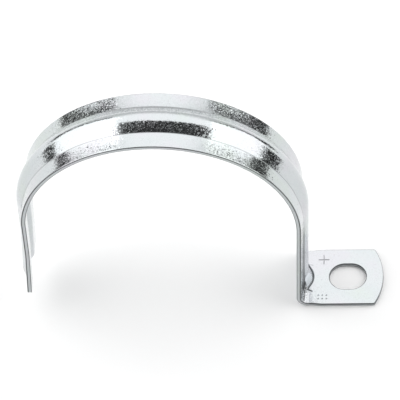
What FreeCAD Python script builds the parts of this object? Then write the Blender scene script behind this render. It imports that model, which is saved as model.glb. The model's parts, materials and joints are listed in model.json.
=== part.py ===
import FreeCAD, Part
import math
import os

# One-hole strap for 3 in. trade size conduit. It is one strip of zinc plated steel: a ribbed
# band rolled to an arch, with a flat slotted foot bent out at one end and a sprung leg at
# the other that snaps over the conduit.
#
# Frame, in millimetres: the origin is on the conduit's axis, at the middle of the strap's
# width. +X points towards the foot, +Y along the conduit, +Z away from the mounting surface.

# Conduit and strip
conduit_diameter = 88.9     # outside diameter of 3 in. trade size conduit
arch_clearance = 0.1        # between the conduit and the inside of the rolled arch
touch_clearance = 0.01      # left where the sprung leg just meets the conduit
sheet = 1.5                 # 16 gauge steel
strap_width = 21.6          # across the ribbed band

# Rib pressed along the middle of the band, raised on the outside and hollow on the inside
rib_height = 2.25
rib_side = 4.0              # run of each sloping side, between its sharp corners
crown_flat = 0.1            # left flat between the crown's two rounded shoulders
crown_radius = 4.4          # outside radius of the shoulders
valley_radius = 1.8         # outside radius where the sides meet the flanges

# Leg and foot that the bolt holds
leg_lean = 3.0              # degrees: the bend is set past square, so the bolt pulls it tight
foot_bend_radius = 1.5      # inside radius of the bend between leg and foot
foot_width = 22.3           # the strip's full width, where no rib draws it in
foot_length = 27.6          # from the leg's outer face to the middle of the rounded end
foot_widening = 3.0         # length over which the strip widens from the band to the foot
end_bulge = 3.0             # how far the middle of the foot's end stands past its corners
end_corner_radius = 0.8
slot_width = 10.3           # 13/32 in., to clear a 3/8 in. bolt
slot_length = 12.4
slot_reach = 15.6           # from the leg's outer face to the middle of the slot

# Sprung leg
snap_bend_radius = 6.0      # inside radius of the short bend that ends the arch
leg_flare = 2.0             # degrees outward, from the bend to the knee
toe_flare = 4.3             # degrees outward, from the knee to the tip
knee_height = 31.5          # of the knee above the mounting surface
knee_radius = 30.0          # outside radius of the knee
toe_gap = 9.4               # between the mounting surface and the leg's tip

# Worked out from the sizes above
conduit_radius = conduit_diameter / 2
axis_height = conduit_radius                    # the conduit lies on the mounting surface
arch_inside = conduit_radius + arch_clearance
arch_outside = arch_inside + sheet
rib_slope = math.atan2(rib_height, rib_side)
rib_crown = crown_flat + 2 * crown_radius * math.tan(rib_slope / 2)
foot_underside = -axis_height
foot_top = foot_underside + sheet

tolerance = 0.01            # within which edges count as lying in one plane

# Round the conduit, angles run from +X through +Z
AXIS = FreeCAD.Vector(0, 0, 0)
TURNING = FreeCAD.Vector(0, -1, 0)
UP = FreeCAD.Vector(0, 0, 1)


def radial(angle):
    """Unit vector out from the conduit's axis, at an angle in degrees."""
    return FreeCAD.Vector(math.cos(math.radians(angle)), 0, math.sin(math.radians(angle)))


def onward(angle):
    """Unit vector along the strip where it stands at an angle, away from the foot."""
    return radial(angle + 90)


def rounded(corners, radii):
    """Edges of an open outline through the corners, with an arc at each inner corner."""
    edges = []
    start = corners[0]
    for before, corner, after, radius in zip(corners, corners[1:], corners[2:], radii):
        back = (before - corner).normalize()
        ahead = (after - corner).normalize()
        half_angle = back.getAngle(ahead) / 2
        reach = radius / math.tan(half_angle)
        inward = (back + ahead).normalize()
        middle = corner + inward * (radius / math.sin(half_angle) - radius)
        stop = corner + ahead * reach
        edges.append(Part.makeLine(start, corner + back * reach))
        edges.append(Part.Arc(corner + back * reach, middle, stop).toShape())
        start = stop
    edges.append(Part.makeLine(start, corners[-1]))
    return edges


def skin(depth):
    """Edges of the band's cross-section at a depth below its outer surface, from -Y to +Y."""
    shift = depth * math.tan(rib_slope / 2)
    edge = strap_width / 2
    valley = rib_crown / 2 + rib_side - shift
    crown = rib_crown / 2 - shift
    low = arch_outside - depth
    high = low + rib_height
    half = [(low, edge), (low, valley), (high, crown)]
    outline = [(x, -y) for x, y in half] + half[::-1]
    corners = [FreeCAD.Vector(x, y, 0) for x, y in outline]
    valley_bend = valley_radius + depth
    crown_bend = crown_radius - depth
    return rounded(corners, [valley_bend, crown_bend, crown_bend, valley_bend])


def closed_face(first, second):
    """Face between two open outlines that run the same way."""
    start = Part.makeLine(first[0].Vertexes[0].Point, second[0].Vertexes[0].Point)
    end = Part.makeLine(first[-1].Vertexes[-1].Point, second[-1].Vertexes[-1].Point)
    return Part.Face(Part.Wire(Part.__sortEdges__(first + [end] + second + [start])))


def turned(shape, centre, angle):
    copy = shape.copy()
    copy.rotate(centre, TURNING, angle)
    return copy


def shifted(shape, step):
    copy = shape.copy()
    copy.translate(step)
    return copy


band_section = closed_face(skin(0), skin(sheet))


def make_sprung_leg(arch_end, snap_turn):
    """The leg beyond the arch: a short tighter bend, a straight, a knee and a flared toe."""
    section = turned(band_section, AXIS, arch_end)
    bend_centre = radial(arch_end) * (arch_inside - snap_bend_radius)
    bend = section.revolve(bend_centre, TURNING, snap_turn)

    section = turned(section, bend_centre, snap_turn)
    heading = arch_end + snap_turn
    inside = bend_centre + radial(heading) * snap_bend_radius
    to_knee = onward(heading) * ((inside.z + axis_height - knee_height) / -onward(heading).z)
    straight = section.extrude(to_knee)

    section = shifted(section, to_knee)
    knee_turn = toe_flare - leg_flare
    knee_centre = inside + to_knee + radial(heading) * (sheet + knee_radius)
    knee = section.revolve(knee_centre, TURNING, -knee_turn)

    section = turned(section, knee_centre, -knee_turn)
    heading -= knee_turn
    inside = knee_centre - radial(heading) * (sheet + knee_radius)
    to_tip = onward(heading) * ((inside.z + axis_height - toe_gap) / -onward(heading).z)
    toe = section.extrude(to_tip)
    return [bend, straight, knee, toe]


def make_foot(leg_face):
    """Flat plate from the leg's inside surface to the rounded end, before it is slotted."""
    plate_start = leg_face - sheet - rib_height
    widening_start = leg_face + foot_bend_radius + rib_height
    corner = leg_face + foot_length - end_bulge
    narrow, wide = strap_width / 2, foot_width / 2
    side = [(plate_start, narrow), (widening_start, narrow)]
    side += [(widening_start + foot_widening, wide), (corner, wide)]
    near = [FreeCAD.Vector(x, -y, foot_underside) for x, y in side]
    far = [FreeCAD.Vector(x, y, foot_underside) for x, y in reversed(side)]
    end_middle = FreeCAD.Vector(leg_face + foot_length, 0, foot_underside)
    edges = Part.makePolygon(near).Edges + [Part.Arc(near[-1], end_middle, far[0]).toShape()]
    edges += Part.makePolygon(far + near[:1]).Edges
    plate = Part.Face(Part.Wire(edges)).extrude(UP * sheet)
    at_end = [edge for edge in plate.Edges if edge.BoundBox.XMin > corner - tolerance]
    end_corners = [edge for edge in at_end if edge.BoundBox.XLength < tolerance]
    return plate.makeFillet(end_corner_radius, end_corners)


def make_slot(leg_face):
    """Obround cutter for the bolt slot, long way away from the leg."""
    half_straight = (slot_length - slot_width) / 2
    middle = FreeCAD.Vector(leg_face + slot_reach, 0, foot_underside - sheet)
    depth = 3 * sheet
    corner = middle - FreeCAD.Vector(half_straight, slot_width / 2, 0)
    straight = Part.makeBox(2 * half_straight, slot_width, depth, corner)
    centres = [middle + FreeCAD.Vector(x, 0, 0) for x in (-half_straight, half_straight)]
    ends = [Part.makeCylinder(slot_width / 2, depth, centre) for centre in centres]
    return straight.fuse(ends).removeSplitter()


def corner_edges(shape, level, leg_x):
    """Edges where the leg, flanges and rib, meets the foot's face at a level.

    leg_x is where the flanges' face crosses that level. The rib's crown crosses it further out.
    """
    crown_x = leg_x + rib_height / math.cos(math.radians(leg_lean))
    found = []
    for edge in shape.Edges:
        box = edge.BoundBox
        level_with_foot = abs(box.ZMin - level) < tolerance and abs(box.ZMax - level) < tolerance
        if level_with_foot and box.XMin > leg_x - tolerance and box.XMax < crown_x + tolerance:
            found.append(edge)
    return found


def make_under_arch(leg_drop):
    """All that lies on the conduit's side of the leg's inside skin."""
    inner = skin(sheet)
    left = FreeCAD.Vector(arch_inside, -strap_width, 0)
    right = FreeCAD.Vector(arch_inside, strap_width, 0)
    left_flat = Part.makeLine(left, inner[0].Vertexes[0].Point)
    right_flat = Part.makeLine(inner[-1].Vertexes[-1].Point, right)
    across_axis = [Part.makeLine(FreeCAD.Vector(0, left.y, 0), FreeCAD.Vector(0, right.y, 0))]
    face = closed_face([left_flat] + inner + [right_flat], across_axis)
    return turned(face, AXIS, -leg_lean).extrude(leg_drop)


def make_strap():
    # The sprung leg's inside surface stands off the axis by the conduit's radius, and the
    # short bend joins it smoothly to the arch, which stands a little further off.
    stand_off = conduit_radius + touch_clearance
    closeness = (stand_off - snap_bend_radius) / (arch_inside - snap_bend_radius)
    snap_turn = math.degrees(math.acos(closeness))
    arch_end = 180 - leg_flare - snap_turn

    arch_start = turned(band_section, AXIS, -leg_lean)
    arch = arch_start.revolve(AXIS, TURNING, arch_end + leg_lean)

    # The other leg runs straight on down from the arch, past the mounting surface, and is
    # trimmed off level with it.
    leg_drop = onward(-leg_lean) * -(2 * axis_height)
    room = 2 * arch_outside
    low_corner = FreeCAD.Vector(-room, -room, foot_underside - room)
    below_surface = Part.makeBox(2 * room, 2 * room, room, low_corner)
    leg = arch_start.extrude(leg_drop).cut(below_surface)

    # Where the flanges' outer and inner faces cross the foot's top face and underside
    lean = math.radians(leg_lean)
    leg_face = arch_outside / math.cos(lean) + foot_top * math.tan(lean)
    leg_inside = arch_inside / math.cos(lean) + foot_underside * math.tan(lean)
    foot = make_foot(leg_face).cut(make_under_arch(leg_drop))

    # The bend between them is rounded last, so that the rib closes down onto the foot.
    strap = arch.fuse([leg, foot] + make_sprung_leg(arch_end, snap_turn)).removeSplitter()
    strap = strap.makeFillet(foot_bend_radius, corner_edges(strap, foot_top, leg_face))
    outer_radius = foot_bend_radius + sheet
    strap = strap.makeFillet(outer_radius, corner_edges(strap, foot_underside, leg_inside))
    return strap.cut(make_slot(leg_face)).removeSplitter()


strap = make_strap()
print("strap:", "valid" if strap.isValid() else "not valid", round(strap.Volume, 1), "mm3")
os.makedirs("parts", exist_ok=True)
strap.Solids[0].exportStep("parts/strap.step")
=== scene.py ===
import json
import math

import bmesh
import bpy
import numpy as np
from mathutils import Matrix, Quaternion, Vector


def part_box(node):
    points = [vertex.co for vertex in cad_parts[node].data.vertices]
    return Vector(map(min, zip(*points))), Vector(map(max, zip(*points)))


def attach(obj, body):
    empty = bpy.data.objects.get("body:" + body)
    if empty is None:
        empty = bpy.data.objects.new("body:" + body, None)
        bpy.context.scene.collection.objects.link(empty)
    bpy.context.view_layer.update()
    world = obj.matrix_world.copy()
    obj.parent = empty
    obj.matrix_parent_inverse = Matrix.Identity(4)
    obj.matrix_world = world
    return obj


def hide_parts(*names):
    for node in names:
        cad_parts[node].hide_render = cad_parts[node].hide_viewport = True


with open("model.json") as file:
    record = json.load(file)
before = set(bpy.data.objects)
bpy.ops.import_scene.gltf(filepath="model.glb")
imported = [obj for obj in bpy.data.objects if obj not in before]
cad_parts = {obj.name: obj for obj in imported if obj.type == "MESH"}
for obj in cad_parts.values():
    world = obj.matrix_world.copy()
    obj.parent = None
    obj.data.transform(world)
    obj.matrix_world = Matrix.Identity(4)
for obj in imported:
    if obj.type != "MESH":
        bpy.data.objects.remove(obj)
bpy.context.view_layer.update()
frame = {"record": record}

# ---------------------------------------------------------------- sizes of the strap
# Lengths are in metres and angles in degrees.
mm = 0.001

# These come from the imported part.
mounts = {mount["name"]: mount for mount in frame["record"]["mounts"]}
low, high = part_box("strap")
arch_inside = mounts["conduit_seat"]["dims"]["r_mm"] * mm
strap_width = mounts["conduit_seat"]["dims"]["length_mm"] * mm
slot_x = mounts["bolt_slot"]["pos_m"][0]
foot_underside = low.z
foot_end = high.x
foot_width = high.y - low.y

# These repeat the sizes in the part's source.
sheet = 1.5 * mm
rib_height = 2.25 * mm
rib_side = 4.0 * mm
crown_flat = 0.1 * mm
crown_radius = 4.4 * mm
valley_radius = 1.8 * mm
leg_lean = 3.0
foot_bend_radius = 1.5 * mm
foot_widening = 3.0 * mm
end_bulge = 3.0 * mm
end_corner_radius = 0.8 * mm
slot_width = 10.3 * mm
slot_length = 12.4 * mm
snap_bend_radius = 6.0 * mm
leg_flare = 2.0
toe_flare = 4.3
knee_height = 31.5 * mm
knee_radius = 30.0 * mm
toe_gap = 9.4 * mm
stand_off = 44.46 * mm          # of the sprung leg's inside surface from the conduit's axis

# These are the finer forms that the press left, which the source doesn't have.
tight_valley = 0.6 * mm         # the valleys' radius on the arch, away from the foot
crown_shift = 0.4 * mm          # of the rib's crown towards the rear
valley_rise = 0.1 * mm          # of the valleys over the line of the band's edges
leg_rise = 0.55 * mm            # the same added on the foot's side leg, whose flanges are bent back
rise_start = 15                 # angle where the arch begins to take the leg's rise
bend_easing = 1.0 * mm          # by which the foot's bend is wider at the flanges than at the rib
easing_run = 1.5 * mm           # over which it widens, out from the rib
gusset_height = 3.5 * mm        # above the bend, where the rib's end starts to flare onto the foot
gusset_lead = 3.5 * mm          # height over the foot to which the flare first heads
gusset_margin = 0.1 * mm        # from the rib's edge in to where the flare starts
gusset_run = 0.7 * mm           # over which it grows to its whole

# Sheared edges
rolled_radius = 0.2 * mm        # the blank's edges where the punch drew the outer face in
slot_edge_radius = 0.3 * mm     # the same round the slot
burr_radius = 0.2 * mm          # the same edges on the inner face
smooth_cut = 0.2 * mm           # depth of the smooth cut below the rolled edge
torn_from = 0.32 * mm           # below the rolled edge, where the torn steel starts
burr_height = 0.1 * mm          # of the torn steel's last row over the burr

# How bare the steel is: 0 is plate, and 1 a dark burr. Down a sheared edge, it is given from the
# outer face to the inner one: at five places round the rolled edge, three down the cut and five
# round the burr.
strip_edge_bareness = (0, 0.1, 0.5, 1, 1, 1, 0.4, 0.4, 0.9, 1, 1, 0.8, 0)
foot_edge_bareness = (0, 0.6, 1, 1, 1, 1, 0.9, 0.15, 0.3, 0.4, 0.4, 0.3, 0)
slot_edge_bareness = (0, 0.9, 1, 1, 1, 0.9, 0.5, 0.6, 1, 1, 0.8, 0.5, 0)
tip_bareness = 0.5
# Painted shade lines are carried with the bareness. They darken the valleys and the rib's rear,
# where the folds stand in shade.
valley_painted_shade = 0.65              # of the painted shade line in each valley
valley_line = 0.12 * mm         # its half-width
second_painted_line = 0.75              # of a second line, a painted dark reflection behind the rib over the arch's top
second_line = (0.3 * mm, 0.9 * mm)      # its edges, from the valley up the rib
second_middle = 88              # angle of its darkest place
second_reach = 30               # angle from there to its ends
second_fade = 12                # angle over which each end fades
leg_valley_shade = 0.8                  # of the painted shade lines in the leg's valleys, which are whole at the fold
flange_darkening = 0.35              # darkening of the leg's front flange

# Rows of the mesh
arch_steps = 150
leg_steps = 20
bend_steps = 12
fine_flange = 1.4 * mm          # of each flange beside its valley, where the rows are finer
edge_row = 0.1 * mm             # from a flange's last row but one to its last
weld = 0.001 * mm               # within which points are one

# Worked out from the sizes above
arch_outside = arch_inside + sheet
foot_top = foot_underside + sheet
slope = math.atan2(rib_height, rib_side)
rib_crown = crown_flat + 2 * crown_radius * math.tan(slope / 2)
rib_edge = rib_crown / 2 + rib_side
lean = math.radians(leg_lean)
leg_face = arch_outside / math.cos(lean) + foot_top * math.tan(lean)
closeness = (stand_off - snap_bend_radius) / (arch_inside - snap_bend_radius)
snap_turn = math.degrees(math.acos(closeness))
arch_end = 180 - leg_flare - snap_turn

ACROSS = np.array((0.0, 1.0, 0.0))
UP = np.array((0.0, 0.0, 1.0))


def radial(angle):
    """Unit vector out from the conduit's axis, at an angle in degrees from +X through +Z."""
    return np.array((math.cos(math.radians(angle)), 0.0, math.sin(math.radians(angle))))


def onward(angle):
    """Unit vector along the strip where it stands at an angle, away from the foot."""
    return radial(angle + 90)


def eased(share):
    """A share from 0 to 1 that starts and stops smoothly."""
    return share ** 2 * (3 - 2 * share)


# ---------------------------------------------------------------- the band's cross-section
def outer_skin(valley_radius):
    """Outer surface of the band from -Y to +Y: rows of y, height, and the normal's two parts."""
    crown_y = rib_crown / 2 - crown_radius * math.tan(slope / 2)
    crown = [(crown_y + crown_radius * math.sin(a), rib_height + crown_radius * (math.cos(a) - 1),
              math.sin(a), math.cos(a)) for a in np.linspace(0, slope, 12)]
    valley_y = rib_crown / 2 + rib_side + valley_radius * math.tan(slope / 2)
    valley = [(valley_y - valley_radius * math.sin(a), valley_radius * (1 - math.cos(a)),
               math.sin(a), math.cos(a)) for a in np.linspace(slope, 0, 8)]
    middle = [(0, rib_height, 0, 1)]
    side = np.linspace(crown[-1], valley[0], 8)[1:-1]
    flange_end = strap_width / 2 - rolled_radius
    fine_end = valley_y + fine_flange
    flange_y = [*np.linspace(valley_y, fine_end, 10)[1:],
                *np.linspace(fine_end, flange_end, 8)[1:-1], flange_end - edge_row, flange_end]
    flange = [(y, 0, 0, 1) for y in flange_y]
    half = np.array([*middle, *crown, *side, *valley, *flange])
    mirrored = half[:0:-1] * (-1, 1, -1, 1)
    return np.vstack([mirrored, half])


def sheared_profile(radius, bareness_and_shade):
    """Section of a sheared edge from the outer face to the inner one.

    It is rows of how far out, height, and how bare the steel is.
    """
    turn = np.linspace(0, math.pi / 2, 5)
    upper = [(radius * (math.sin(a) - 1), radius * (math.cos(a) - 1)) for a in turn]
    lower = [(burr_radius * (math.sin(a) - 1), burr_radius * (1 - math.cos(a)) - sheet)
             for a in reversed(turn)]
    between = [(0, upper[-1][1] - smooth_cut), (0, upper[-1][1] - torn_from),
               (0, lower[0][1] + burr_height)]
    return np.column_stack([np.array(upper + between + lower), bareness_and_shade])


def section_loop(valley_radius):
    """The closed cross-section, from -Y over the outer skin and back under the inner one.

    Each point is a pivot, a direction and a reach from it, and the foot's bend radius there.
    The pivots of the two skins are the same, on the line that the bend turns about.
    """
    skin = outer_skin(valley_radius)
    flange = np.clip((np.abs(skin[:, 0]) - rib_edge) / easing_run, 0, 1)
    radius = foot_bend_radius + bend_easing * eased(flange)
    pivots = skin[:, :2] + radius[:, None] * skin[:, 2:]
    outside = np.column_stack([pivots, skin[:, 2:], radius, radius])
    inside = np.column_stack([pivots, skin[:, 2:], radius + sheet, radius])
    edge = np.array([(strap_width / 2 + out, radius[0], 0, 1, radius[0] - height, radius[0])
                     for out, height in strip_edge[1:-1, :2]])
    mirrored_edge = edge[::-1] * (-1, 1, 1, 1, 1, 1)
    return np.vstack([outside, edge, inside[::-1], mirrored_edge]), len(skin)


def flat_section(loop):
    """The loop's points as rows of y and height over the outer face."""
    return loop[:, :2] - loop[:, 4:5] * loop[:, 2:4]


def crest(loop):
    """How high each point is up the rib: 0 is a flange, and 1 the crown."""
    return np.clip((loop[:, 1] - loop[:, 5] * loop[:, 3]) / rib_height, 0, 1)


def valley_share(loop, power):
    """How much each point moves with the valleys when they rise: none at the crown or the edges."""
    y = np.abs(flat_section(loop)[:, 0])
    out = np.clip((y - rib_edge) / (strap_width / 2 - rib_edge), 0, 1)
    return (1 - crest(loop)) * (1 - out) ** power


def pressed_section():
    """The arch's own cross-section: tight valleys, and flanges that droop away from them."""
    pressed = section_loop(tight_valley)[0]
    section = flat_section(pressed)
    section[:, 0] += crown_shift * crest(pressed) ** 2
    section[:, 1] += valley_rise * valley_share(pressed, 3)
    return section


def outward_normals(section):
    """Unit normals out of a closed cross-section."""
    run = np.roll(section, -1, 0) - np.roll(section, 1, 0)
    normals = np.column_stack([-run[:, 1], run[:, 0]])
    return normals / np.linalg.norm(normals, axis=1)[:, None]


strip_edge = sheared_profile(rolled_radius, strip_edge_bareness)
loop, skin_count = section_loop(valley_radius)
arch_section = pressed_section()
arch_normals = outward_normals(arch_section)


# ---------------------------------------------------------------- bare steel and painted shade
def section_bareness_and_shade():
    """How bare the steel is round the loop at the sheared edges, with painted shade lines in the
    valleys.
    """
    profile = strip_edge[1:-1, 2]
    skin = outer_skin(tight_valley)
    in_valley = np.abs(np.abs(skin[:, 0]) - rib_edge) < valley_line
    # painted shade: a dark line along each valley's fold
    valley_shade = np.where(in_valley, valley_painted_shade, 0)
    return np.concatenate([valley_shade, profile, np.zeros(len(skin)), profile[::-1]])


loop_bareness_and_shade = section_bareness_and_shade()


def band_bareness_and_shade(rows):
    """The same along the band, with the second line, a painted dark reflection, over the arch's
    top.
    """
    angle = np.linspace(-leg_lean, arch_end, arch_steps + 1)
    from_end = second_reach - np.abs(angle - second_middle)
    over_top = np.zeros((rows, 1))
    over_top[:arch_steps + 1, 0] = np.clip(from_end / second_fade, 0, 1)
    from_edge = rib_edge - outer_skin(tight_valley)[:, 0]
    second = np.zeros(len(loop))
    # painted dark reflection along the rib's rear, over the arch's top
    second[:skin_count] = (from_edge > second_line[0]) & (from_edge < second_line[1])
    return np.maximum(loop_bareness_and_shade, second_painted_line * over_top * second)


def leg_bareness_and_shade(rows):
    """The same down the leg, with painted shade lines in the valleys and a darker front flange.

    Down the leg, the valleys' lines grow narrower, and near the fold they run in over the rib.
    """
    on_leg = np.linspace(0, 1, leg_steps + 1)[:, None]
    on_bend = np.linspace(1, 0, rows - len(on_leg))[:, None]
    down = np.vstack([on_leg, np.ones_like(on_bend)])
    near_fold = np.vstack([on_leg ** 5, on_bend ** 2])
    past_arch = np.minimum(1, 4 * down)
    past_bend = np.vstack([np.ones_like(on_leg), on_bend])

    outer = np.arange(len(loop)) < skin_count
    y = flat_section(loop)[:, 0]
    spread = (0.55 - 0.2 * down) * mm           # the width over which a line fades
    inward = (0.4 + 0.5 * near_fold) * mm       # of its middle from the rib's edge
    in_valley = outer * np.clip(2.4 - np.abs(np.abs(y) - rib_edge + inward) / spread, 0, 1)
    on_flange = outer * np.clip((-y - rib_edge) / (0.5 * mm), 0, 1)
    # painted shade in the valleys; the front flange is darkened too
    leg_darkening = np.maximum(in_valley * (leg_valley_shade + (1 - leg_valley_shade) * near_fold),
                       on_flange * flange_darkening * past_arch * past_bend)
    return np.maximum(loop_bareness_and_shade, leg_darkening * past_arch)


# ---------------------------------------------------------------- rows along the band
def place_section(base, angle, inset=0.0):
    """The cross-section where the strip's outer face is at base and faces along an angle."""
    section = arch_section - arch_normals * inset
    share = min(max((rise_start - angle) / (rise_start + leg_lean), 0), 1)
    height = section[:, 1] + leg_rise * valley_share(loop, 1) * eased(share)
    return base + np.outer(height, radial(angle)) + np.outer(section[:, 0], ACROSS)


def straight_run(base, angle, length, steps):
    """Places along a straight length of strip, and where it ends."""
    end = base + onward(angle) * length
    return [(base + (end - base) * share, angle) for share in np.linspace(0, 1, steps + 1)], end


def bend_run(centre, radius, first, last, steps):
    """Places along a bend; the radius is the outer face's, and negative if it bends outward."""
    angles = np.linspace(first, last, steps + 1)
    return [(centre + radial(angle) * radius, angle) for angle in angles]


def band_rows():
    """Rows of points from the foot's side of the arch to the tip of the sprung leg."""
    places = bend_run(np.zeros(3), arch_outside, -leg_lean, arch_end, arch_steps)
    bend_centre = radial(arch_end) * (arch_inside - snap_bend_radius)
    heading = arch_end + snap_turn
    places += bend_run(bend_centre, snap_bend_radius + sheet, arch_end, heading, steps=5)[1:]

    base = places[-1][0]
    inside_z = (base - radial(heading) * sheet)[2]
    drop = inside_z - foot_underside - knee_height
    run, base = straight_run(base, heading, drop / -onward(heading)[2], steps=12)
    places += run[1:]

    knee_centre = base + radial(heading) * knee_radius
    toe_heading = heading - (toe_flare - leg_flare)
    places += bend_run(knee_centre, -knee_radius, heading, toe_heading, steps=5)[1:]

    base = places[-1][0]
    inside_z = (base - radial(toe_heading) * sheet)[2]
    drop = inside_z - foot_underside - toe_gap
    toe_length = drop / -onward(toe_heading)[2]
    run, base = straight_run(base, toe_heading, toe_length - burr_radius, steps=14)
    places += run[1:]

    rows = [place_section(*place) for place in places]
    for turn in np.linspace(0, math.pi / 2, 4)[1:]:
        ahead = onward(toe_heading) * burr_radius * math.sin(turn)
        rows.append(place_section(base + ahead, toe_heading, burr_radius * (1 - math.cos(turn))))
    return rows


def gusset_share():
    """How much of the gusset's flare each point of the loop takes: all of it over the rib."""
    share = np.clip((rib_edge - gusset_margin - np.abs(loop[:, 0])) / gusset_run, 0, 1)
    share[skin_count:] = 0
    return eased(share)[:, None]


def leg_and_bend_rows():
    """Rows of points from the arch down the leg and round the bend onto the foot.

    Over the rib, the outer face leaves the bend's arc and flares straight down to a crease.
    """
    across = loop[:, :1] * ACROSS
    facing = loop[:, 2:3] * ACROSS + loop[:, 3:4] * radial(-leg_lean)
    reach = loop[:, 4:5]
    start = across + (arch_outside + loop[:, 1:2]) * radial(-leg_lean)
    down = -onward(-leg_lean)
    radius = loop[:, 5:6]
    fall = (start[:, 2:3] - (foot_top + radius)) / -down[2]
    gusset = gusset_share()
    leg_fall = fall - gusset * gusset_height
    easing = arch_section - flat_section(loop)
    easing = easing[:, :1] * ACROSS + easing[:, 1:] * radial(-leg_lean)
    rise = leg_rise * valley_share(loop, 1)[:, None] * radial(-leg_lean)
    rows = [start + leg_fall * down * share - reach * facing + rise + easing * (1 - share) ** 2
            for share in np.linspace(0, 1, leg_steps + 1)]

    pivot = start + fall * down
    whole_turn = np.arccos(facing[:, 2:3])
    flare_start = pivot - gusset_height * down - reach * facing
    flare_lead = start + (fall + radius - gusset_lead) * down - reach * facing
    flare_end = pivot - reach * UP
    for share in np.linspace(0, 1, bend_steps + 1)[1:]:
        turn = whole_turn * share
        towards = (np.sin(whole_turn - turn) * facing + np.sin(turn) * UP) / np.sin(whole_turn)
        arc = pivot - reach * towards
        flare = ((1 - share) ** 2 * flare_start + 2 * share * (1 - share) * flare_lead
                 + share ** 2 * flare_end)
        risen = rise * math.cos(share * math.pi / 2) ** 2
        rows.append((1 - gusset) * arc + gusset * flare + risen)
    return rows


# ---------------------------------------------------------------- the foot
def foot_outline(bend_exit_x):
    """The foot's sheared outline from the bend on the +Y side round to the bend on the -Y side.

    It is rows of x, y and the two parts of the normal out of the edge.
    """
    narrow, wide = strap_width / 2, foot_width / 2
    widening_x = leg_face + foot_bend_radius + rib_height
    end_radius = (wide ** 2 + end_bulge ** 2) / (2 * end_bulge)
    end_centre = foot_end - end_radius
    corner_y = wide - end_corner_radius
    corner_x = end_centre + math.sqrt((end_radius - end_corner_radius) ** 2 - corner_y ** 2)
    end_turn = math.asin(corner_y / (end_radius - end_corner_radius))

    def side_line(start, stop, steps):
        normal = np.array((start[1] - stop[1], stop[0] - start[0]))
        normal /= np.linalg.norm(normal)
        return [(*point, *normal) for point in np.linspace(start, stop, steps + 1)]

    def arc_line(centre, radius, first, last, steps):
        turns = np.linspace(first, last, steps + 1)[1:]
        return [(centre[0] + radius * math.cos(a), centre[1] + radius * math.sin(a),
                 math.cos(a), math.sin(a)) for a in turns]

    side = side_line((bend_exit_x, narrow), (widening_x, narrow), steps=6)[:-1]
    side += side_line((widening_x, narrow), (widening_x + foot_widening, wide), steps=10)[1:-1]
    side += side_line((widening_x + foot_widening, wide), (corner_x, wide), steps=44)[1:]
    corner = arc_line((corner_x, corner_y), end_corner_radius, math.pi / 2, end_turn, steps=8)
    end = arc_line((end_centre, 0), end_radius, end_turn, 0, steps=25)
    half = np.array(side + corner + end)
    return np.vstack([half, half[-2::-1] * (1, -1, 1, -1)])


def slot_outline(points):
    """The slot's edge in each point's direction from its centre, with normals into the slot."""
    half_straight = (slot_length - slot_width) / 2
    radius = slot_width / 2
    rows = []
    for x, y in points - (slot_x, 0):
        angle = math.atan2(y, x)
        across = abs(math.sin(angle))
        flat_reach = radius / across if across > 1e-9 else math.inf
        if flat_reach * abs(math.cos(angle)) <= half_straight:
            edge = np.array((flat_reach * math.cos(angle), math.copysign(radius, y)))
            out = np.array((0.0, math.copysign(1.0, y)))
        else:
            side = math.copysign(half_straight, x)
            along = side * math.cos(angle)
            reach = along + math.sqrt(along ** 2 - half_straight ** 2 + radius ** 2)
            edge = np.array((reach * math.cos(angle), reach * math.sin(angle)))
            out = (edge - (side, 0)) / radius
        rows.append((slot_x + edge[0], edge[1], -out[0], -out[1]))
    return np.array(rows)


def sheared_rows(outline, profile):
    """Rows of points down a sheared edge, one column for each place on the outline."""
    rows = []
    for out, height in profile[:, :2]:
        place = outline[:, :2] + outline[:, 2:] * out
        rows.append(np.column_stack([place, np.full(len(place), foot_top + height)]))
    return rows


def flat_rows(outer, inner, shares):
    """Rows of points across a flat face, from its outer boundary to the slot."""
    return [outer + (inner - outer) * share for share in shares]


class Stroke:
    """A line pressed into the foot's top: a polyline, its half-width, its depth and its painted
    shade.
    """

    def __init__(self, points, reach, depth, bareness_and_shade):
        self.points = np.array(points, dtype=float)
        self.reach = reach
        self.depth = depth
        self.bareness_and_shade = bareness_and_shade

    def distance(self, places):
        """How far each place is from the line."""
        nearest = np.full(len(places), np.inf)
        for start, stop in zip(self.points[:-1], self.points[1:]):
            run = stop - start
            share = np.clip((places - start) @ run / max(run @ run, 1e-18), 0, 1)
            gap = np.linalg.norm(places - start - share[:, None] * run, axis=1)
            nearest = np.minimum(nearest, gap)
        return nearest

    def weight(self, places):
        """1 in the middle of the line, and 0 past its half-width."""
        share = np.clip(self.distance(places) / self.reach, 0, 1)
        return np.cos(share * math.pi / 2) ** 2


def creases(exit_top):
    """The crease where the rib's end folds onto the foot, and the wrinkles at its two corners,
    darkened with painted shade.
    """
    rib_end = exit_top[np.abs(exit_top[:, 1]) < rib_edge]
    fold = rib_end[:, :2] + (0.1 * mm, 0)
    front, rear = fold[0], fold[-1]
    # The crease and the wrinkles are darkened with painted shade, where shade falls in them.
    return [Stroke(fold, reach=0.4 * mm, depth=0.3 * mm, bareness_and_shade=1.0),
            Stroke([front, front + (1.6 * mm, -0.8 * mm)],
                   reach=0.32 * mm, depth=0.14 * mm, bareness_and_shade=1.0),
            Stroke([rear, rear + (1.7 * mm, -0.5 * mm)],
                   reach=0.3 * mm, depth=0.06 * mm, bareness_and_shade=0.25)]


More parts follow.
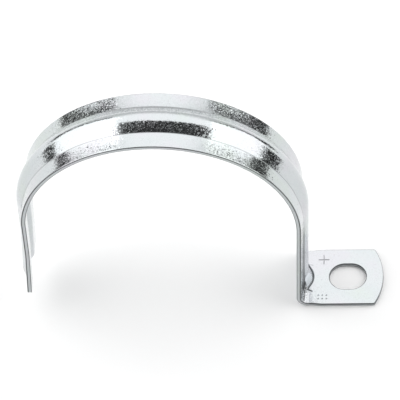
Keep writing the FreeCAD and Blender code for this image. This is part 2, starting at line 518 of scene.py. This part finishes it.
def punch_marks():
    """Plain marks in place of the maker's: a cross behind the slot's end, and six dots in front,
    darkened with painted shade.
    """
    cross = np.array((leg_face + 7.4 * mm, 7.0 * mm))
    dots = np.array((leg_face + 7.0 * mm, -8.3 * mm))
    arm = 1.7 * mm
    # The marks are darkened with painted shade.
    marks = [Stroke([cross - way, cross + way], reach=0.3 * mm, depth=0.1 * mm, bareness_and_shade=0.8)
             for way in ((arm, 0), (0, arm))]
    for x in (-1.4 * mm, 0, 1.4 * mm):
        for y in (-0.7 * mm, 0.7 * mm):
            dot = dots + (x, y)
            marks.append(Stroke([dot, dot], reach=0.4 * mm, depth=0.12 * mm, bareness_and_shade=0.8))
    return marks


# ---------------------------------------------------------------- the mesh
class Sheet:
    """Collects grids of points, which join where their borders meet."""

    def __init__(self):
        self.points = []
        self.bareness_and_shade = []
        self.faces = []

    def grid(self, rows, bareness_and_shade=0.0, closed=False):
        """Adds rows of points; their bare steel and painted shade is one value, or one for each
        column or row.
        """
        first = len(self.points)
        count = len(rows[0])
        for row, bare_and_shade in zip(rows, np.broadcast_to(bareness_and_shade, (len(rows), count))):
            self.points.extend(map(tuple, row))
            self.bareness_and_shade.extend(bare_and_shade)
        for r in range(len(rows) - 1):
            for c in range(count if closed else count - 1):
                a = first + r * count + c
                b = first + r * count + (c + 1) % count
                self.faces.append((a, b, b + count, a + count))

    def cap(self, points):
        """Adds one face through the points, at the sprung leg's tip."""
        first = len(self.points)
        self.points.extend(map(tuple, points))
        self.bareness_and_shade.extend([tip_bareness] * len(points))
        self.faces.append(tuple(range(first, first + len(points))))

    def build(self, name, creases, marks):
        """The mesh of all the grids, with the creases and marks pressed in, finely at the marks."""
        mesh = bpy.data.meshes.new(name)
        mesh.from_pydata(self.points, [], self.faces)
        bareness_and_shade = mesh.attributes.new("bareness_and_shade", "FLOAT", "POINT")
        bareness_and_shade.data.foreach_set("value", self.bareness_and_shade)
        work = bmesh.new()
        work.from_mesh(mesh)
        bmesh.ops.remove_doubles(work, verts=work.verts, dist=weld)
        bmesh.ops.recalc_face_normals(work, faces=work.faces)
        refine(work, marks)
        press(work, creases + marks)
        work.to_mesh(mesh)
        work.free()
        mesh.shade_smooth()
        piece = bpy.data.objects.new(name, mesh)
        bpy.context.scene.collection.objects.link(piece)
        return piece


def refine(work, strokes):
    """Divides the foot's top finely round the strokes."""
    margin = 0.4 * mm
    tops = [face for face in work.faces if face.normal.z > 0.99
            and abs(face.calc_center_median().z - foot_top) < weld]
    places = np.array([face.calc_center_median()[:2] for face in tops])
    near = np.zeros(len(tops), bool)
    for stroke in strokes:
        near |= stroke.distance(places) < stroke.reach + margin
    edges = {edge for face, chosen in zip(tops, near) if chosen for edge in face.edges}
    bmesh.ops.subdivide_edges(work, edges=list(edges), cuts=3, use_grid_fill=True)


def press(work, strokes):
    """Sinks the strokes into the foot's top and darkens them with painted shade."""
    bare_and_shade = work.verts.layers.float["bareness_and_shade"]
    tops = [vert for vert in work.verts if abs(vert.co.z - foot_top) < weld]
    places = np.array([vert.co[:2] for vert in tops])
    for stroke in strokes:
        for vert, weight in zip(tops, stroke.weight(places)):
            vert.co.z = min(vert.co.z, foot_top - stroke.depth * weight)
            vert[bare_and_shade] = max(vert[bare_and_shade], stroke.bareness_and_shade * weight)


def make_strap():
    body = Sheet()
    band = band_rows()
    body.grid(band, band_bareness_and_shade(len(band)), closed=True)

    edge_count = (len(loop) - 2 * skin_count) // 2
    tip = band[-1]
    outside = tip[:skin_count]
    inside = tip[skin_count + edge_count:-edge_count][::-1]
    body.grid([outside, inside], tip_bareness)
    body.cap([outside[-1], *tip[skin_count:skin_count + edge_count], inside[-1]])
    body.cap([inside[0], *tip[-edge_count:], outside[0]])

    leg = leg_and_bend_rows()
    body.grid(leg, leg_bareness_and_shade(len(leg)), closed=True)
    exit_top = leg[-1][:skin_count]
    exit_under = leg[-1][skin_count + edge_count:-edge_count][::-1]
    outer_edge = sheared_rows(foot_outline(exit_top[-1][0]), strip_edge)
    body.grid(outer_edge, np.array(foot_edge_bareness)[:, None])

    top = np.vstack([exit_top, outer_edge[0][1:-1]])
    under = np.vstack([exit_under, outer_edge[-1][1:-1]])
    slot_profile = sheared_profile(slot_edge_radius, slot_edge_bareness)
    slot_edge = sheared_rows(slot_outline(top[:, :2]), slot_profile)
    body.grid(slot_edge, slot_profile[:, 2:], closed=True)
    top_shares = [*np.linspace(0, 0.1, 9), *np.linspace(0.1, 0.35, 16)[1:],
                  *np.linspace(0.35, 0.98, 13)[1:], 1]
    under_shares = [0, 0.01, *np.linspace(0.05, 0.95, 10), 0.99, 1]
    body.grid(flat_rows(top, slot_edge[0], top_shares), closed=True)
    body.grid(flat_rows(under, slot_edge[-1], under_shares), closed=True)
    return body.build("pressed_strap", creases(exit_top), punch_marks())


# ---------------------------------------------------------------- materials
class Shading:
    """Adds nodes to a material or world and joins them up."""

    def __init__(self, owner):
        owner.use_nodes = True
        self.nodes = owner.node_tree.nodes
        self.links = owner.node_tree.links

    def add(self, kind, inputs=(), **settings):
        """A node and its settings; each named input takes a value, or the socket to join to it."""
        node = self.nodes.new("ShaderNode" + kind)
        for key, value in settings.items():
            setattr(node, key, value)
        for key, value in dict(inputs).items():
            self.join(value, node.inputs[key])
        return node

    def join(self, value, socket):
        """Gives a socket a value, or joins another socket to it."""
        if isinstance(value, bpy.types.NodeSocket):
            self.links.new(value, socket)
        else:
            socket.default_value = value

    def maths(self, operation, *values):
        """The result of a sum on values and sockets."""
        return self.add("Math", enumerate(values), operation=operation).outputs[0]

    def vector(self, operation, inputs):
        """The result of a sum on vectors."""
        return self.add("VectorMath", inputs, operation=operation).outputs[0]

    def ramp(self, value, stops):
        """A colour or grey for each place along a value from 0 to 1."""
        node = self.add("ValToRGB", {"Fac": value})
        elements = node.color_ramp.elements
        for place, colour in stops[2:]:
            elements.new(place)
        for element, (place, colour) in zip(elements, stops):
            element.position = place
            element.color = (*colour, 1) if isinstance(colour, tuple) else grey(colour)
        return node.outputs["Color"]


def grey(level):
    return (level, level, level, 1)


# Tints of the plate from place to place, and how bare steel and painted shade darken them
zinc_tints = [(0.36, (0.552, 0.594, 0.58)), (0.48, (0.559, 0.59, 0.603)),
              (0.56, (0.568, 0.594, 0.606)), (0.66, (0.579, 0.584, 0.61))]
bare_and_shade_greys = [(0.0, 1.0), (0.3, 0.85), (0.5, 0.78), (1.0, 0.22)]
bare_and_shade_roughness = 0.5
blotches_per_metre = 75.0
crystals_per_metre = 3100.0
crystal_roughness = 0.105       # of the brightest crystals
dull_roughness = 0.2            # added in the dullest
crystal_tilt = 0.02             # of the flattest crystals
steep_tilt = 0.12               # added in the steepest
rarity = 3.0                    # of the dull and steep crystals


def make_zinc():
    """Clear zinc plate: bright, finely crystalline, faintly tinted, and greyer where it is bare and
    where shade is painted.
    """
    material = bpy.data.materials.new("zinc_steel")
    zinc = Shading(material)
    where = zinc.add("TexCoord").outputs["Object"]

    noise = {"Vector": where, "Scale": blotches_per_metre, "Detail": 2.0}
    blotches = zinc.add("TexNoise", noise).outputs["Fac"]
    tint = zinc.ramp(blotches, zinc_tints)

    cells = {"Vector": where, "Scale": crystals_per_metre}
    crystals = zinc.add("TexVoronoi", cells).outputs["Color"]
    chance = zinc.add("SeparateColor", {"Color": crystals}).outputs["Red"]
    dull = zinc.maths("POWER", chance, rarity)
    roughness = zinc.maths("MULTIPLY_ADD", dull, dull_roughness, crystal_roughness)

    scatter = zinc.vector("SUBTRACT", {0: crystals, 1: (0.5, 0.5, 0.5)})
    luck = zinc.add("TexWhiteNoise", {"Vector": crystals}).outputs["Value"]
    steep = zinc.maths("POWER", luck, rarity)
    reach = zinc.maths("MULTIPLY_ADD", steep, steep_tilt, crystal_tilt)
    tilt = zinc.vector("SCALE", {0: scatter, "Scale": reach})
    facing = zinc.add("NewGeometry").outputs["Normal"]
    leaning = zinc.vector("ADD", {0: facing, 1: tilt})
    crystal_facing = zinc.vector("NORMALIZE", {0: leaning})

    # The mesh's attribute darkens the tint, both for bare steel and for painted shade.
    bareness_and_shade = zinc.add("Attribute", attribute_name="bareness_and_shade").outputs["Fac"]
    darkening = zinc.ramp(bareness_and_shade, bare_and_shade_greys)
    colour = zinc.add("Mix", {"Factor": 1.0, 6: tint, 7: darkening},
                      data_type="RGBA", blend_type="MULTIPLY").outputs[2]
    mark_roughness = zinc.maths("MULTIPLY", bareness_and_shade, bare_and_shade_roughness)
    roughness_with_marks = zinc.maths("MAXIMUM", roughness, mark_roughness)

    shader = zinc.nodes["Principled BSDF"]
    zinc.join(1.0, shader.inputs["Metallic"])
    zinc.join(colour, shader.inputs["Base Color"])
    zinc.join(roughness_with_marks, shader.inputs["Roughness"])
    zinc.join(crystal_facing, shader.inputs["Normal"])
    return material


def make_floor_material():
    """White paper, a little lifted where the camera or a reflection sees it."""
    lift = 0.06
    material = bpy.data.materials.new("pale_floor")
    floor = Shading(material)
    rays = floor.add("LightPath").outputs
    mirrored = floor.maths("MAXIMUM", rays["Is Glossy Ray"], rays["Is Transmission Ray"])
    seen = floor.maths("MAXIMUM", rays["Is Camera Ray"], mirrored)
    shader = floor.nodes["Principled BSDF"]
    floor.join(grey(0.95), shader.inputs["Base Color"])
    floor.join(0.9, shader.inputs["Roughness"])
    floor.join(grey(1), shader.inputs["Emission Color"])
    floor.join(floor.maths("MULTIPLY", seen, lift), shader.inputs["Emission Strength"])
    return material


strap = make_strap()
strap.data.materials.append(make_zinc())
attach(strap, "root")
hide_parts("strap")

# ---------------------------------------------------------------- floor, light and camera
bpy.ops.mesh.primitive_plane_add(size=40, location=(0, 0, foot_underside))
floor = bpy.context.object
floor.name = "floor"
floor.data.materials.append(make_floor_material())


def towards(azimuth, elevation):
    """Unit vector from the strap; azimuth 0 is the front, and 90 the foot's side."""
    a, e = math.radians(azimuth), math.radians(elevation)
    return Vector((math.sin(a) * math.cos(e), -math.cos(a) * math.cos(e), math.sin(e)))


def aim(thing, azimuth, elevation, distance, beside, above, slant=0.0):
    """Stands a lamp or card off in a direction, facing the strap, shifted in its own plane."""
    way = towards(azimuth, elevation)
    turn = way.to_track_quat("Z", "Y")
    thing.rotation_mode = "QUATERNION"
    thing.rotation_quaternion = turn @ Quaternion((0, 0, 1), math.radians(slant))
    thing.location = way * distance + turn @ Vector((beside, above, 0))


def softbox(name, azimuth, elevation, distance, width, height, radiance, beside=0.0, above=0.0):
    """A large lamp of an even brightness beside the strap."""
    lamp = bpy.data.lights.new(name, "AREA")
    lamp.shape = "RECTANGLE"
    lamp.size = width
    lamp.size_y = height
    lamp.energy = radiance * math.pi * width * height
    thing = bpy.data.objects.new(name, lamp)
    bpy.context.scene.collection.objects.link(thing)
    aim(thing, azimuth, elevation, distance, beside, above)
    thing.visible_camera = False


def card(name, azimuth, elevation, distance, width, height, level, beside=0.0, above=0.0,
         slant=0.0, shading=False):
    """A sheet of an even brightness that the strap's reflections show and the camera doesn't.

    It shades the strap and the floor only where shading is true.
    """
    bpy.ops.mesh.primitive_plane_add(size=1)
    thing = bpy.context.object
    thing.name = name
    thing.scale = (width, height, 1)
    aim(thing, azimuth, elevation, distance, beside, above, slant)
    material = bpy.data.materials.new(name)
    sheen = Shading(material)
    sheen.nodes.remove(sheen.nodes["Principled BSDF"])
    glow = sheen.add("Emission", {"Color": grey(level)})
    sheen.join(glow.outputs[0], sheen.nodes["Material Output"].inputs["Surface"])
    thing.data.materials.append(material)
    thing.visible_camera = False
    thing.visible_diffuse = thing.visible_shadow = shading


# Each has its azimuth, elevation and distance, then its width, its height and its brightness.
softbox("right_softbox", 89, 37, 1.8, 2.285, 1.53, 0.9, beside=0.229, above=-0.315)
softbox("left_softbox", -89, 37, 1.8, 2.285, 1.84, 0.9, beside=-0.211, above=-0.164)
card("camera_side_dark", 0, 47.5, 2.5, 3.65, 3.1, 0.04, beside=0.275, above=0.2, shading=True)
card("back_right_dark", 134.5, 0, 2.0, 0.24, 1.55, 0.01, beside=-0.045, above=0.78, slant=-14)
card("back_left_dark", -136, 0, 2.0, 0.24, 1.6, 0.01, beside=0.045, above=0.83, slant=20)
card("right_dark", 90, 0, 0.53, 0.27, 0.15, 0.02, above=0.0305)
card("right_dark_behind", 124, 0, 0.53, 0.13, 0.15, 0.02, above=0.0305)
card("left_dark", -91, 0, 1.7, 0.85, 0.35, 0.02, above=0.12)
card("left_dark_behind", -124, 0, 1.7, 0.42, 0.35, 0.02, above=0.12)


def make_world():
    """Soft overcast light: white overhead, greyer lower down and white again at the horizon."""
    levels = [(0.0, 1.0), (0.04, 1.0), (0.1, 0.85), (0.5, 0.85), (0.75, 1.48), (1.0, 1.48)]
    world = bpy.data.worlds.new("studio")
    bpy.context.scene.world = world
    sky = Shading(world)
    way = sky.add("TexCoord").outputs["Generated"]
    height = sky.add("SeparateXYZ", {"Vector": way}).outputs["Z"]
    sky.join(sky.ramp(height, levels), sky.nodes["Background"].inputs["Color"])


make_world()


def place_camera():
    """The camera stands at the photographer's angle: in front, above, and a little to the right."""
    azimuth, elevation, roll = 8.05, 53.73, math.radians(-7.22)
    distance = 1.2
    beside, above = 12.44 * mm, 1.35 * mm
    back = towards(azimuth, elevation)
    right = Vector((math.cos(math.radians(azimuth)), math.sin(math.radians(azimuth)), 0))
    up = back.cross(right)
    rolled_right = right * math.cos(roll) + up * math.sin(roll)
    rolled_up = up * math.cos(roll) - right * math.sin(roll)
    lens = bpy.data.cameras.new("camera")
    lens.lens = 327.3
    lens.sensor_width = 36
    camera = bpy.data.objects.new("camera", lens)
    bpy.context.scene.collection.objects.link(camera)
    turn = Matrix((rolled_right, rolled_up, back)).transposed()
    place = back * distance + rolled_right * beside + rolled_up * above
    camera.matrix_world = Matrix.Translation(place) @ turn.to_4x4()
    bpy.context.scene.camera = camera


place_camera()
bpy.context.scene.view_settings.view_transform = "Standard"
